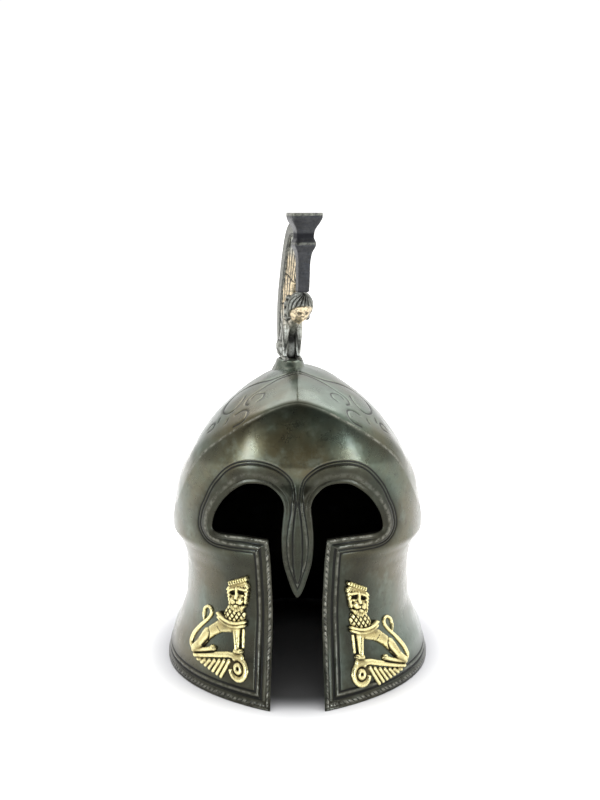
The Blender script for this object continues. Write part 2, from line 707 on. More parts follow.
def face_grid():
    """The turns and heights of the face's grid, with the ridge's height found by repeated trial."""
    straight = np.arange(0, STRAIGHT_WIDTH, FINE)
    columns = np.concatenate([straight, STRAIGHT_WIDTH + np.linspace(0, 1, SIDE_COLUMNS)])
    ridge = np.full(len(columns), 90.0)
    for _ in range(60):
        ridge += 0.6 * (RIDGE["height"](column_turn(columns, ridge)) - ridge)
    heights = row_heights(column_turn(columns, ridge), ridge)
    return column_turn(columns[None], heights), heights


# %% [markdown]
# The face's metal is the skin plus everything chased or worn into it. The border is cut by the distance
# from the line, or from the rim where that is nearer. The forehead swells a little under the ridge. What
# the hands rubbed and what the cloth never reached are written down beside the shape, for the patina.

# %% The face's relief


def skin_relief(points, from_line, station):
    """The border's height over the skin, and how grooved and how worn it is; under a lip the skin sinks."""
    from_rim = points[..., 2]
    at_rim = from_rim < from_line
    far = np.where(at_rim, from_rim, from_line)
    relief = border_height(far, np.where(at_rim, 0.0, station))
    sunk = np.maximum(ramp(from_line, 1.9, 1.5), ramp(from_rim, 3.1, 2.7))
    return relief * (1 - sunk) - 0.75 * sunk, held(-relief / 0.3), held(relief / 0.3)


def handled(across, heights, from_line):
    """Where the patina is darkest: round the openings, on the cheeks' inner halves and over the rim."""
    round_eyes = ramp(from_line, 11, 5)
    cheek = ramp(across, 43, 24) * ramp(heights, 68, 58)
    return np.maximum(np.maximum(round_eyes, cheek), 0.6 * ramp(heights, 12, 6))


def ridge_wear(across):
    """How bright the ridge is rubbed: most on the two slopes over the eyes, hardly at all in the middle."""
    return 0.95 * ramp(np.abs(across), 7, 17) * ramp(np.abs(across), 50, 40)


def middle_dark(across, from_edge):
    """The dirt that the polish never reached, at the ridge's peak."""
    return 0.9 * ramp(from_edge, 3.6, 0.8) * ramp(np.abs(across), 17, 5)


def make_face(name, side):
    """Half of the face: the tube's front, raised and cut by the border, with the opening left out."""
    turn, heights = face_grid()
    points = tube_point(turn, heights)
    normals = grid_normals(points)
    normals[:, 0, 0] = 0
    across = points[..., 0]
    from_line, station = nearest_on_line(across, heights)
    relief, groove, worn = skin_relief(points, np.where(across > 44, 99.0, from_line), station)
    nasal = nasal_height(across, heights) * ramp(from_line, 1.2, 2.0)
    from_edge = np.linalg.norm(points - points[-1:], axis=-1)
    forehead = 1.2 - 1.2 * (1 - held(from_edge / 14.5)) ** 2
    forehead = forehead * ramp(heights, 90, 98) * ramp(across, 48, 34)
    relief = relief + nasal + forehead + uneven(points) * ramp(from_line, 2, 8)
    points = points + normals * relief[..., None] + drawn_in(turn, from_edge)
    under_ridge = 0.6 * ramp(from_edge, 10, 2) * ramp(across, 44, 36)
    dim = np.maximum(handled(across, heights, from_line), under_ridge)
    left_out = (in_opening(across, heights) | (from_line < 0.7)).ravel()
    cells = grid_faces(*turn.shape)
    return shell_piece(
        name,
        points * (side, 1, 1),
        cells[~left_out[cells].any(-1)],
        flip=side < 0,
        groove=np.maximum(groove, held(-nasal / 0.2)),
        worn=np.maximum(0.8 * worn, ridge_wear(across) * ramp(from_edge, 1.1, 0.2)),
        dim=np.maximum(dim, middle_dark(across, from_edge)),
    )


# %% [markdown]
# ## Crown and nape
#
# The crown is a fan of rays from the top to the brow ridge. Over the brow it carries a chased ornament:
# a long double scroll on each side of the middle, with a few loose strokes and a small leaf. They are
# curves in plan, and the tool that cut them is a narrow hump of depth over the distance from them.

# %% The crown's chased lines
SCROLLS = (
    ((0.5, -13.5), (6.0, -16.4), (11.5, -17.4), (16.7, -15.3), (21.5, -12.9), (26.0, -12.3), (29.2, -16.3),
     (30.7, -22.0), (30.4, -26.8), (28.3, -30.4), (25.6, -30.4), (23.0, -27.2), (21.8, -23.8)),
    ((0.5, -16.6), (6.0, -18.9), (10.2, -21.2), (14.3, -24.0), (17.5, -25.9), (20.2, -28.0), (21.3, -31.3),
     (20.0, -33.6)),
    ((19.0, -29.8), (17.5, -27.9), (15.4, -28.4), (13.7, -30.2), (14.3, -33.4), (16.4, -34.7)),
    ((25.3, -35.1), (22.9, -35.1), (20.8, -36.5), (20.0, -39.0), (20.8, -41.8), (22.6, -42.6), (25.9, -41.4)),
    ((29.4, -36.2), (28.3, -34.3)),
    ((32.6, -30.8), (31.9, -28.6)),
    ((36.9, -26.6), (35.3, -26.4), (34.0, -29.0), (34.9, -31.4), (36.9, -29.4)),
)  # fmt: skip


def from_scrolls(x, y):
    """The distance in plan from the nearest chased line, or 99 away from the ornament."""
    lines = np.concatenate([even_path(smooth_path(line, 8), 0.25)[0] for line in SCROLLS])
    places = np.stack([np.abs(x).ravel(), y.ravel()], 1)
    close = (places[:, 1] < -8) & (places[:, 0] < 42)
    far = np.full(len(places), 99.0)
    far[close] = np.linalg.norm(places[close] - lines[nearest_point(places[close], lines)], axis=1)
    return far.reshape(x.shape)


def make_crown(name, turns, rays):
    """Part of the crown: rays from the ridge to the top, with the chased lines and a faint middle crease."""
    turn, way_out = np.meshgrid(turns, 1 - rays)
    points = crown_point(turn, way_out)
    normals = grid_normals(points)
    from_line = from_scrolls(points[..., 0], points[..., 1] + MIDDLE_DEPTH)
    long_line = ramp(points[..., 1] + MIDDLE_DEPTH, -27, -17)
    groove = hump(from_line, 0, 0.62 + 0.7 * long_line) * (0.72 + 0.28 * long_line)
    crease = 0.05 * hump(turn * way_out, 0, 2.2) * ramp(way_out, 0.35, 0.6)
    from_edge = np.linalg.norm(points - points[:1], axis=-1)
    relief = crease - 0.42 * groove + uneven(points) * ramp(from_edge, 0, 6)
    points = points + normals * relief[..., None] + drawn_in(turn, from_edge)
    worn = ridge_wear(points[..., 0]) * ramp(from_edge, 0.6, 0.1) * ramp(np.abs(turn), 110, 80)
    dim = middle_dark(points[..., 0], from_edge)
    return shell_piece(name, points, grid_faces(*turn.shape), groove=groove, worn=worn, dim=dim)


def make_nape():
    """The back of the tube: the border's level lines over the rim, and plain metal above them."""
    turn = (np.linspace(FACE_END, 360 - FACE_END, 92) + 180) % 360 - 180
    turn[np.abs(turn) > 179.99] = 180
    heights = row_heights(np.abs(turn), RIDGE["height"](np.abs(turn)))
    turns = np.broadcast_to(turn, heights.shape)
    points = tube_point(turns, heights)
    normals = grid_normals(points)
    relief, groove, worn = skin_relief(points, np.full(heights.shape, 99.0), np.zeros(heights.shape))
    from_edge = np.linalg.norm(points - points[-1:], axis=-1)
    points = points + normals * (relief + uneven(points))[..., None] + drawn_in(turns, from_edge)
    dim = 0.6 * ramp(heights, 12, 6)
    return shell_piece("nape", points, grid_faces(*heights.shape), groove=groove, worn=worn, dim=dim)


# %% [markdown]
# ## The lips
#
# The wall is two and a half millimetres thick, and its edge shows all round. A lip is a cross-section
# carried along the line: it starts under the skin, runs over a chased cord to the edge, turns through the
# wall and ends against the inner skin. At the corner of the cheekpiece its direction swings to the
# diagonal, which gives a mitre. The cord is a row of slanting lozenges, a hump cut by a slanting wave.

# %% The lip of the opening
LIP_ACROSS = np.concatenate([np.linspace(2.05, 0.25, 19), [0.12, 0.03, 0.0, 0.0, 0.0, 0.12, 0.8, 1.6]])
LIP_SINK = np.concatenate([np.zeros(19), [0.02, 0.12, 0.3, 1.2, 2.2, 2.5, 2.6, 2.6]])
LIP_OUTSIDE = 22  # the first points of the section, up to the outer edge
CORD_PITCH = 2.4
MITRE = 2.6


def cord(along, across, pitch, slant=0.55):
    """Lozenges on a cord: 0 in the narrow slanting notches and 1 on the broad lozenges between them."""
    return held(1.5 * np.abs(np.sin(math.pi * (along / pitch + slant * across))))


def lip_height(across, along, station):
    """The lip's height over the skin: a cord at the cheek, beads on the lid, a bevel, a rounded nasal."""
    cheek = ramp(station, 1.0, 0.94)
    lid = ramp(station, 0.94, 1.0) * ramp(station, 2.05, 1.75)
    corner = ramp(station, 1.8, 2.1) * ramp(station, 3.4, 2.9)
    rest = ramp(station, 2.9, 3.4)
    lozenges = cord(along, across - 1.15, CORD_PITCH)
    beads = 1 - (1 - cord(along, 0, 1.9)) * ramp(station, 1.75, 1.15)
    high = cheek * (0.04 + 0.34 * hump(across, 1.15, 0.85) * (0.35 + 0.65 * lozenges))
    high = high + lid * (0.04 + 0.30 * hump(across, 0.65, 0.75) * (0.4 + 0.6 * beads))
    high = high - corner * 0.62 * held(1 - across / 1.9) ** 1.1
    high = high - rest * 0.32 * held(1 - across / 1.1) ** 2 + rest * 0.03
    high = high - 0.12 * ramp(across, 1.8, 2.05) - 0.1 * ramp(across, 0.3, 0.0)
    return high, cheek * hump(across, 1.15, 0.95) * (1 - lozenges)


def inward_way(line, along, corners):
    """The direction into the metal along the line, swinging to the diagonal near the square corners."""
    slopes = np.gradient(line, axis=0)
    mean_of_five = [np.convolve(np.pad(column, 2, "edge"), np.ones(5) / 5, "valid") for column in slopes.T]
    tangent = unit(np.stack(mean_of_five, 1))
    way = np.stack([tangent[:, 1], -tangent[:, 0]], 1)
    for place, diagonal, before, after in corners:
        off = (along - place)[:, None]
        near = held(1 - np.abs(off) / MITRE)
        turned = np.where(off < 0, before, after) * (1 - near) + np.array(diagonal) * near
        way = np.where(np.abs(off) < MITRE, turned, way)
    return way


def lip_piece(name, points, flip, **numbers):
    """A lip's right half together with its mirror image, as one piece."""
    faces = grid_faces(*points.shape[:2]).reshape(-1, 4)
    points = points.reshape(-1, 3)
    numbers = {key: np.concatenate([np.ravel(value)] * 2) for key, value in numbers.items()}
    both = np.concatenate([points, points * (-1, 1, 1)])
    return shell_piece(name, both, np.concatenate([faces, faces[:, ::-1] + len(points)]), flip, **numbers)


def make_opening_lip():
    """The lip round the whole opening: its section carried along the line, on both sides of the middle."""
    corner = LINE_ALONG[np.argmin(np.hypot(*(LINE - CORNER).T))]
    corners = ((0.0, (1, 1), (1, 0), (1, 0)), (corner, (1, -1), (1, 0), (0, -1)))
    way = inward_way(LINE, LINE_ALONG, corners)
    places = np.maximum(LINE[:, None] + LIP_ACROSS[None, :, None] * way[:, None], 0.0)
    points, normals = on_face(places[..., 0], places[..., 1])
    across = np.broadcast_to(LIP_ACROSS, points.shape[:2])
    high, notch = lip_height(across, LINE_ALONG[:, None], LINE_STATION[:, None])
    outside = np.arange(len(LIP_ACROSS)) < LIP_OUTSIDE
    high = np.where(outside, high, 0)
    back = LIP_SINK / np.maximum(-normals[..., 1], 0.35)
    points = points + normals * high[..., None] + back[..., None] * (0, 1, 0)
    return lip_piece(
        "opening_lip",
        points,
        True,
        groove=np.maximum(notch * 0.8, 0.7 * ramp(LIP_SINK, 0.5, 1.5) + 0 * across),
        worn=held(high / 0.35) * outside,
        inside=ramp(LIP_SINK, 1.2, 2.2) + 0 * across,
        dim=1 + 0 * across,
    )


# %% [markdown]
# The rim's lip has the same cord over its foot, and its section stands upright: up the outside, under the
# wall and up the inside. It goes from the cheekpiece's corner to the middle of the back, and is mirrored.

# %% The lip of the rim
RIM_UP = np.concatenate([[3.3, 3.1], np.linspace(2.9, 0.3, 17), [0.15, 0.05, 0.0, 0.0, 0.0, 0.0, 0.3, 1.6]])
RIM_IN = np.concatenate([np.zeros(19), [0.05, 0.14, 0.3, 1.0, 1.8, 2.35, 2.72, 2.72]])
RIM_CORD_AT = 1.9


def make_rim_lip():
    """The section carried round by equal steps, leaning to the gap's edge near the cheekpiece's corner."""
    start = float(turn_of(GAP_EDGE[0][1], 0.0))
    dense = np.linspace(start, 180, 6000)
    along = way_along(tube_point(dense, 1.0 + 0 * dense))
    steps = np.linspace(0, along[-1], int(along[-1] / LINE_STEP))[:, None]
    up = np.broadcast_to(RIM_UP, (len(steps), len(RIM_UP)))
    shift = turn_of(gap_half(up) + np.minimum(up, 2.0), up) - start
    turn = np.interp(steps, along, dense) + shift * ramp(steps, 6.0, 0.0)
    small = 0.02
    sideways = tube_point(np.minimum(turn + small, 180), up) - tube_point(turn - small, up)
    level = unit(np.stack([sideways[..., 1], -sideways[..., 0], 0 * up], -1))
    lozenges = cord(steps, up - RIM_CORD_AT, 2.2, 0.5)
    high = 0.05 + 0.3 * hump(up, RIM_CORD_AT, 1.0) * (0.35 + 0.65 * lozenges) - 0.14 * ramp(up, 2.95, 3.3)
    high = np.where(RIM_IN > 0.1, 0, high)
    points = tube_point(turn, up) + level * (high - RIM_IN)[..., None]
    points[..., 0] = np.maximum(points[..., 0], np.where(turn < 90, gap_half(up), 0.0))
    notch = hump(up, RIM_CORD_AT, 1.1) * (1 - lozenges) * (RIM_IN < 0.1)
    return lip_piece(
        "rim_lip",
        points,
        False,
        groove=np.maximum(notch, 0.6 * (RIM_IN > 1.2)),
        worn=0.9 * held(high / 0.35),
        inside=np.broadcast_to(ramp(RIM_IN, 1.8, 2.4), up.shape),
        dim=1 + 0 * up,
    )


# %% [markdown]
# ## The inside
#
# The inner skin is the outer skin moved in by the wall's thickness along its normals. Tube and crown go
# into one grid, so that at the ridge the normals are the mean of both sides and the skin stays whole.

# %% The inside
INNER_ROWS = 98
INNER_CROWN_ROWS = 30


def make_inside():
    """The inner skin on one grid, tube then crown, with the opening left out."""
    turns = np.degrees(np.linspace(-math.pi, math.pi, 481))
    ridge = RIDGE["height"](np.abs(turns))
    tube_rows = 1.0 + (ridge - 1.0) * np.linspace(0, 1, INNER_ROWS)[:, None]
    way_out = np.linspace(1, 0.004, INNER_CROWN_ROWS + 1)[1:, None] + 0 * turns
    crown = crown_point(turns + 0 * way_out, way_out)
    points = np.concatenate([tube_point(turns + 0 * tube_rows, tube_rows), crown])
    points = points - grid_normals(points) * WALL
    points[..., 2] = np.maximum(points[..., 2], 0.02)
    front = (np.arange(len(points)) < INNER_ROWS)[:, None] & (np.abs(turns) < 88)
    across, height = np.abs(points[..., 0]), points[..., 2]
    hole = front & (in_opening(across, height) | (nearest_on_line(across, height)[0] < 0.25))
    cells = grid_faces(*points.shape[:2])
    cells = cells[~hole.ravel()[cells].any(-1)]
    clean = 0 * across
    return shell_piece("inside_skin", points, cells, True, groove=clean, worn=clean, inside=1 + clean)


# %% [markdown]
# ## The lions
#
# Each cheekpiece carries a seated lion in relief on a beam that ends in a volute, with a fan of rays
# under it. A relief is a height over a plane: here the plane is the cheek unrolled, with "along" away
# from the gap and "up", both from the middle of the volute. Each limb is a stroke, a line that tapers
# from one round end to the other, with a round back; the highest stroke wins. Lines are then cut in. The
# height is laid on the cheek along its normals, and dips under the skin outside the outline.

# %% Strokes and lines on the cheek's plane
OUTSIDE = -9.0
WALL_SLOPE = 7


def from_stroke(along, up, stroke):
    """The distance from a stroke's middle line, and the stroke's radius at the nearest place."""
    a1, u1, r1, a2, u2, r2 = stroke
    step_a, step_u = a2 - a1, u2 - u1
    way = held(((along - a1) * step_a + (up - u1) * step_u) / max(step_a**2 + step_u**2, 1e-9))
    return np.hypot(along - a1 - way * step_a, up - u1 - way * step_u), r1 + way * (r2 - r1)


def rounded(along, up, strokes, edge, rise):
    """The height of round-backed strokes: an edge's height plus a circle's profile, steep outside."""
    best = np.full(np.shape(along), OUTSIDE)
    for stroke in strokes:
        far, radius = from_stroke(along, up, stroke)
        back = edge + rise * np.sqrt(held(1 - (far / radius) ** 2))
        best = np.maximum(best, np.where(far < radius, back, edge + WALL_SLOPE * (radius - far)))
    return best


def from_lines(along, up, lines):
    """The distance from the nearest of some smooth lines."""
    best = np.full(np.shape(along), 99.0)
    for path in (smooth_path(line, 5) for line in lines):
        for start, end in zip(path[:-1], path[1:]):
            best = np.minimum(best, from_stroke(along, up, (*start, 0, *end, 0))[0])
    return best


def line_cuts(along, up, table):
    """For rows of lines, half-width and depth: how far into each cut a place is, and the cut's depth."""
    return [(hump(from_lines(along, up, lines), 0, half), depth) for lines, half, depth in table]


def carved(height, cuts):
    """The height with the cuts taken out of it, and how deep in a cut each place is."""
    groove = np.max([amount for amount, _ in cuts], axis=0)
    return height - sum(depth * amount for amount, depth in cuts), groove


def laid_over(height, groove, layer, layer_groove):
    """A second layer over the first: the higher one is seen, and so is its own groove."""
    return np.maximum(height, layer), np.where(layer > height, layer_groove, groove)


# %% [markdown]
# The lion sits upright with its head turned to the viewer. Its body, thigh and legs are a few strokes; the
# tail rises behind the back and curls over. Each stroke is a start, an end and a radius at both. Bodies
# stand higher than the beam, and the head, which is laid over them, is the highest of all.

# %% The lion's limbs and lines
BODY = (
    (3.0, 16.4, 2.6, 7.4, 16.2, 2.5),
    (4.4, 16.2, 3.0, 9.4, 14.2, 2.4),
    (9.4, 14.2, 2.4, 13.6, 11.2, 2.0),
    (13.6, 11.2, 2.0, 16.6, 8.6, 2.0),
)
THIGH = ((15.9, 9.9, 1.7, 17.7, 7.2, 1.9), (17.7, 7.2, 1.9, 20.6, 3.6, 1.6), (20.6, 3.6, 1.6, 23.4, 1.4, 1.2))
HIND_FOOT = ((24.2, 0.4, 1.0, 17.0, 2.9, 0.85), (17.0, 2.9, 0.85, 13.6, 4.2, 0.95))
HIND_PAW = ((13.3, 4.6, 1.15, 12.7, 4.7, 1.05),)
FORELEG = ((0.7, 16.0, 2.2, 0.5, 12.4, 1.45), (0.5, 12.4, 1.45, 0.3, 7.6, 1.15))
FOREPAW = ((1.1, 6.5, 1.0, -1.6, 6.9, 1.1),)
FAR_FORELEG = ((-2.7, 15.8, 0.75, -2.5, 8.8, 0.6),)
TAIL_LINE = (
    (24.6, 0.3),
    (26.1, 2.3),
    (24.5, 6.0),
    (20.8, 10.4),
    (17.2, 14.0),
    (14.8, 17.0),
    (14.5, 19.4),
    (16.2, 20.3),
    (18.1, 18.8),
    (18.7, 16.6),
)
TAIL_TUFT = ((18.7, 16.4, 0.62, 18.4, 14.0, 0.35),)
MANE = ((0.6, 22.4, 4.5, 2.0, 19.8, 4.8),)
BEAM = ((-1.8, 4.6, 1.25, 5.0, 4.3, 1.1), (5.0, 4.3, 1.1, 13.0, 2.2, 1.0), (13.0, 2.2, 1.0, 23.4, -1.2, 0.75))
COLLAR = (
    ((9.8, 19.7), (7.0, 18.2), (3.6, 17.6), (0.0, 18.0), (-4.0, 19.4)),
    ((9.4, 18.1), (6.8, 16.8), (3.6, 16.2), (0.0, 16.6), (-3.8, 17.9)),
)
HAUNCH_LINE = (((17.2, 12.0), (15.2, 11.9), (14.2, 10.2), (15.2, 7.8), (17.2, 5.4), (18.6, 3.8)),)
FOOT_LINE = (((23.4, -0.4), (16.6, 1.8), (12.4, 3.2)),)
TOE_LINES = (
    ((-2.6, 7.4), (-1.5, 6.8)),
    ((-2.6, 6.6), (-1.6, 6.1)),
    ((11.9, 5.2), (12.8, 4.9)),
    ((11.9, 4.5), (12.8, 4.3)),
)
LEG_LINES = (((0.4, 14.5), (0.3, 12.0), (0.1, 9.5)), ((9.8, 14.2), (8.8, 12.4)), ((19.0, 8.4), (20.6, 5.0)))
RAY_COUNT = 7


def rays():
    """The fan under the beam: each ray leans outwards, and they shorten away from the volute."""
    for k in range(RAY_COUNT):
        at = 4.6 + 2.6 * k
        yield (at, 2.0 - 0.62 * k, 0.85, at + 4.4 - 0.46 * k, -5.0 + 0.46 * k, 0.72)


def tail():
    """The tail as short strokes along its line, getting thinner towards the tuft."""
    path = smooth_path(TAIL_LINE, 4)
    thick = np.linspace(0.8, 0.55, len(path))
    return [(*p, r, *q, t) for p, q, r, t in zip(path[:-1], path[1:], thick[:-1], thick[1:])]


# Strokes, the height of their edge and the rise of their back; then lines, their half-width and depth.
LION_STROKES = (
    *((BEAM, 0.75, 0.45), (tuple(rays()), 0.25, 0.65), (tail(), 0.25, 0.7), (TAIL_TUFT, 0.3, 0.8)),
    *((FAR_FORELEG, 0.15, 0.5), (BODY, 0.5, 1.4), (THIGH, 0.7, 1.45), (HIND_FOOT, 0.5, 1.0)),
    *((HIND_PAW, 0.7, 0.95), (FORELEG, 0.6, 1.3), (FOREPAW, 0.7, 1.0), (MANE, 0.75, 0.75)),
)
LION_CUTS = ((HAUNCH_LINE, 0.42, 0.6), (FOOT_LINE, 0.34, 0.5), (TOE_LINES, 0.22, 0.3), (LEG_LINES, 0.3, 0.22))
print("a lion is", sum(len(row[0]) for row in LION_STROKES), "strokes under its head")

# %% [markdown]
# The head is a skull of four strokes with a muzzle, a nose and brows laid on it. Sockets, mouth and
# nostrils are cut in. A row of beads crosses the brow, with short locks under it, curls down both sides
# and a fringe of beard. Rows of like strokes are written as loops.

# %% The lion's head
SKULL = (
    (-2.7, 35.0, 2.2, 2.2, 33.0, 2.1),
    (-0.9, 32.8, 3.7, 1.1, 32.2, 3.7),
    (0.1, 31.4, 4.1, 0.5, 28.8, 3.7),
    (0.5, 28.8, 3.7, 0.8, 26.4, 2.9),
)
BEAD_ROW = (-4.3, 37.4, 3.9, 33.9)
BEAD_BAND = ((-4.1, 36.05, 0.42, 4.0, 32.55, 0.42),)
MUZZLE = (
    (-1.5, 28.1, 1.55, -1.2, 27.6, 1.5),
    (2.0, 27.4, 1.55, 1.8, 26.9, 1.5),
    (0.3, 27.0, 1.5, 0.7, 25.6, 1.2),
)
NOSE = ((0.0, 33.4, 0.62, 0.15, 30.4, 0.66), (0.15, 30.4, 0.66, 0.25, 28.9, 1.05))
BROWS = ((-3.9, 33.1, 0.6, -0.8, 33.3, 0.75), (1.0, 32.7, 0.75, 3.9, 31.5, 0.6))
SOCKETS = ((-1.45, 31.5, 0.95, -2.7, 31.4, 0.75), (1.5, 30.9, 0.95, 2.8, 30.3, 0.75))
MOUTH = (
    ((-3.2, 26.9), (-1.6, 26.1), (0.4, 26.4), (2.2, 25.3), (3.6, 25.5)),
    ((0.3, 28.2), (0.4, 27.3), (0.4, 26.4)),
)
NOSTRILS = (((-0.8, 28.4), (-0.4, 28.2)), ((1.2, 28.0), (0.9, 28.0)))
HEAD_STROKES = (
    *((SKULL, 0.7, 0.95), (MUZZLE, 1.45, 0.95), (NOSE, 1.55, 0.95)),
    *((BROWS, 1.55, 0.6), (BEAD_BAND, 1.3, 0.45)),
)
HEAD_CUTS = ((MOUTH, 0.42, 0.55), (NOSTRILS, 0.35, 0.45))


def head_hair():
    """Strokes of the head's hair: beads on a slanting row, short locks under it, side curls and a beard."""
    a1, u1, a2, u2 = BEAD_ROW
    for k in range(8):
        a, u = a1 + (a2 - a1) * k / 7, u1 + (u2 - u1) * k / 7
        yield (a, u, 0.55, a + 0.35, u + 0.95, 0.42)
        if k < 7:
            yield (a + 0.6, u - 2.2, 0.40, a + 0.3 + 0.1 * k, u - 3.5 + 0.12 * abs(k - 3), 0.26)
        a = -3.4 + 1.0 * k
        yield (a, 25.9 - 0.16 * k, 0.46, a * 0.75 + 0.35, 23.5 - 0.55 * math.cos(0.8 * (k - 4)), 0.24)
    for k in range(5):
        yield (-4.6 + 0.16 * k, 35.2 - 1.7 * k, 0.72, -5.3 + 0.3 * k, 34.2 - 1.7 * k, 0.42)
        yield (4.3 - 0.04 * k * k, 32.4 - 1.45 * k, 0.72, 5.2 - 0.3 * k, 31.4 - 1.45 * k, 0.42)


# %% [markdown]
# The relief puts the strokes together. The neck between beard and collar is a net of diamonds, which two
# families of slanting cuts make by crossing. The volute is a ring round a ring, open towards the beam.

# %% The lion's relief


def head_relief(along, up):
    """The head alone: its height, and how deep in a cut each place is. It has its own place on the plane."""
    height = np.max([rounded(along, up, *row) for row in HEAD_STROKES], axis=0)
    sockets = [hump(far, 0, 1.5 * radius) for far, radius in (from_stroke(along, up, row) for row in SOCKETS)]
    height, groove = carved(height, [(np.max(sockets, axis=0), 1.25), *line_cuts(along, up, HEAD_CUTS)])
    return laid_over(height, groove, rounded(along, up, head_hair(), 1.15, 0.75), 0)


def volute(along, up):
    """The beam's end: a round band, a gap and a smaller ring, flattened where the beam runs into it."""
    from_middle = np.hypot(along, up)
    turn = np.degrees(np.arctan2(up, along))
    outer = 5.15 - 0.5 * ramp(turn, -60, -10) * ramp(turn, 60, 30)
    closed = np.where((turn > -14) & (turn < 52), 0.0, 1.0)
    band = closed * np.sqrt(held(1 - ((from_middle - 4.1) / 1.25) ** 2))
    ring = 0.25 + 0.85 * np.sqrt(held(1 - ((from_middle - 1.35) / 1.05) ** 2))
    disc = np.where(from_middle < outer, 0.25 + 0.85 * band, 0.25 - WALL_SLOPE * (from_middle - outer))
    return np.maximum(disc, np.where(from_middle < 2.4, ring, OUTSIDE))


def neck_diamonds(along, up):
    """Two families of slanting cuts, between the beard and the collar."""
    neck = ramp(from_stroke(along, up, MANE[0])[0], 5.0, 4.4)
    collar_top = 17.6 + 0.07 * (along - 3) ** 2
    neck = neck * ramp(up, collar_top, collar_top + 1.0)
    waves = [np.abs(np.sin(math.pi * (along * 0.75 + lean * up * 0.55) / 1.75)) for lean in (1.0, -1.0)]
    return [(neck * held(1.15 - 2.0 * wave), 0.6) for wave in waves]


def lion_height(along, up, head_along, head_up):
    """The relief's height over the cheek, and how deep in a cut each place is."""
    layers = [volute(along, up), *(rounded(along, up, *row) for row in LION_STROKES)]
    cuts = [(hump(np.hypot(along, up), 0, 0.9), 0.7), *neck_diamonds(along, up)]
    height, groove = carved(np.max(layers, axis=0), cuts + line_cuts(along, up, LION_CUTS))
    collar = from_lines(along, up, COLLAR)
    collar = np.where(collar < 0.6, 1.8 + 0.3 * np.sqrt(held(1 - (collar / 0.6) ** 2)), OUTSIDE)
    height, groove = laid_over(height, groove, collar, 0.0)
    return laid_over(height, groove, *head_relief(along - head_along, up - head_up))


def blurred(grid, reach):
    """The mean of a grid over a square of cells round each cell, from running sums along both directions."""
    for axis in (0, 1):
        wide = np.pad(grid, [(reach + 1, reach) if k == axis else (0, 0) for k in (0, 1)], "edge")
        total = np.cumsum(wide, axis=axis)
        size = grid.shape[axis]
        high = np.take(total, np.arange(2 * reach + 1, 2 * reach + 1 + size), axis)
        grid = (high - np.take(total, np.arange(size), axis)) / (2 * reach + 1)
    return grid


# Which side, where the volute's middle is, how the plane leans, and where the head sits on it.
LION_PLACES = {"lion_left": (-1, 24.1, 13.4, 0.0, -0.5, 0.0), "lion_right": (1, 26.0, 10.8, 6.0, 0.9, 0.7)}
PLATE_COSINE = 0.81  # the cheek turns away, so the plane looks narrower from the front
DIP = 0.49  # how far the relief goes under the skin outside its outline


def make_lion(name):
    """One lion: the relief on a fine grid over the cheek, keeping only the cells on or beside it."""
    side, middle_at, middle_height, lean, *head_place = LION_PLACES[name]
    along, up = np.meshgrid(np.arange(-6.6, 27.4, 0.15), np.arange(-6.4, 39.2, 0.15))
    height, groove = lion_height(along, up, *head_place)
    cosine, sine = math.cos(math.radians(lean)), math.sin(math.radians(lean))
    across = middle_at + PLATE_COSINE * (along * cosine - up * sine)
    points, normals = on_face(across, middle_height - along * sine + up * cosine)
    low = np.clip(height, -0.5, None)
    points = points + normals * low[..., None]
    cells = grid_faces(*along.shape)
    cells = cells[(height.ravel()[cells] > -DIP).any(-1)]
    standing = np.clip(height, -0.3, None)
    standing = standing - blurred(blurred(standing, 5), 5)
    dirt = np.maximum(groove, np.maximum(ramp(height, 0.45, 0.1), ramp(standing, -0.02, -0.32)))
    attributes = {"groove": dirt, "worn": ramp(standing, -0.05, 0.35) * (1 - groove)}
    points = points * (side, 1, 1)
    return mesh_piece(name + "_relief", points, cells, "worn_brass", name, attributes, side < 0)


# %% [markdown]
# ## The crest's figure
#
# A seated winged figure carries the crest. Its limbs are lofts: a cross-section, an ellipse, moves along
# a smooth line and changes size by a table. Crest coordinates are "ahead", "aside" and "height"; the
# whole crest is turned a little to the helmet's left. The head is a ball pushed in and out by humps over
# its own longitude and latitude, with the calm, regular features of a small bronze; waved locks frame it.

# %% Lofts
CREST_AT = (-3.0, 0.0)
CREST_TURN = 16.0


def full_turn(count):
    """Equal steps once round, in radians, without the last one, which is the first again."""
    return np.linspace(0, 2 * math.pi, count, endpoint=False)


def crest_points(ahead, aside, height):
    """Crest coordinates as points of the helmet: turned about the crest's foot and moved over it."""
    turn = math.radians(CREST_TURN)
    x = CREST_AT[0] + aside * math.cos(turn) + ahead * math.sin(turn)
    y = CREST_AT[1] + aside * math.sin(turn) - ahead * math.cos(turn) - MIDDLE_DEPTH
    return np.stack(np.broadcast_arrays(x, y, height), -1)


def loft(rows, steps=10, sides=40, power=2.0, relief=None):
    """Points round and along a limb. Rows hold ahead, aside, height, half-width aside and half-depth."""
    rows = smooth_path(np.array(rows, float), steps)
    middle, half = rows[:, :3], np.maximum(rows[:, 3:], 0.0)
    along = unit(np.gradient(middle, axis=0))
    side = unit(np.cross(along, np.cross(np.broadcast_to((0.0, 1.0, 0.0), along.shape), along)))
    depth = np.cross(side, along)
    turn = full_turn(sides)
    round_x, round_y = signed_power(np.sin(turn), 2 / power), signed_power(np.cos(turn), 2 / power)
    way = np.linspace(0, 1, len(rows))
    extra = np.zeros((len(rows), sides)) if relief is None else relief(way[:, None], turn[None])
    reach = half[:, None] + extra[..., None]
    points = middle[:, None] + side[:, None] * (round_x * reach[..., 0])[..., None]
    points = points + depth[:, None] * (round_y * reach[..., 1])[..., None]
    return crest_points(*np.moveaxis(points, -1, 0)), extra


